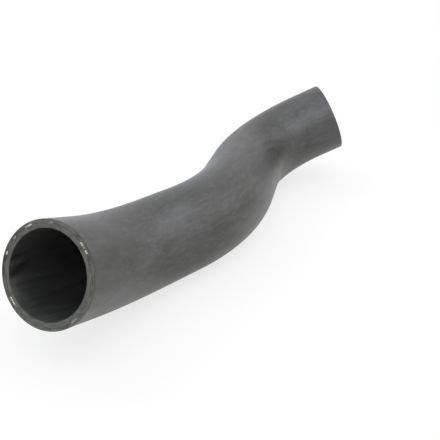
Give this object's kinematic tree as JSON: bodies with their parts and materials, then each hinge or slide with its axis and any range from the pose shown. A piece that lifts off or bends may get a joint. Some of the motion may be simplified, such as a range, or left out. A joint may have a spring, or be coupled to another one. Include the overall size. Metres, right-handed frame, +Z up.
{
  "type": "radiator hose",
  "caption": "Formed rubber coolant hose, a thick-walled round tube open at both ends, bent in different planes to join a radiator to an engine.",
  "frame": {"origin": "bottom centre of the bounding box, on the surface that the hose lies on", "axes": "+Z up, +X from the inlet end towards the outlet end, +Y to the side, level"},
  "size_m": [0.4246, 0.111, 0.1014],
  "materials": {
    "epdm_rubber": "matt, moulded, faintly mottled",
    "reinforcing_yarn": "cut ends of the yarn inside the wall"
  },
  "bodies": {
    "root": {"hose": "epdm_rubber"}
  },
  "joints": []
}
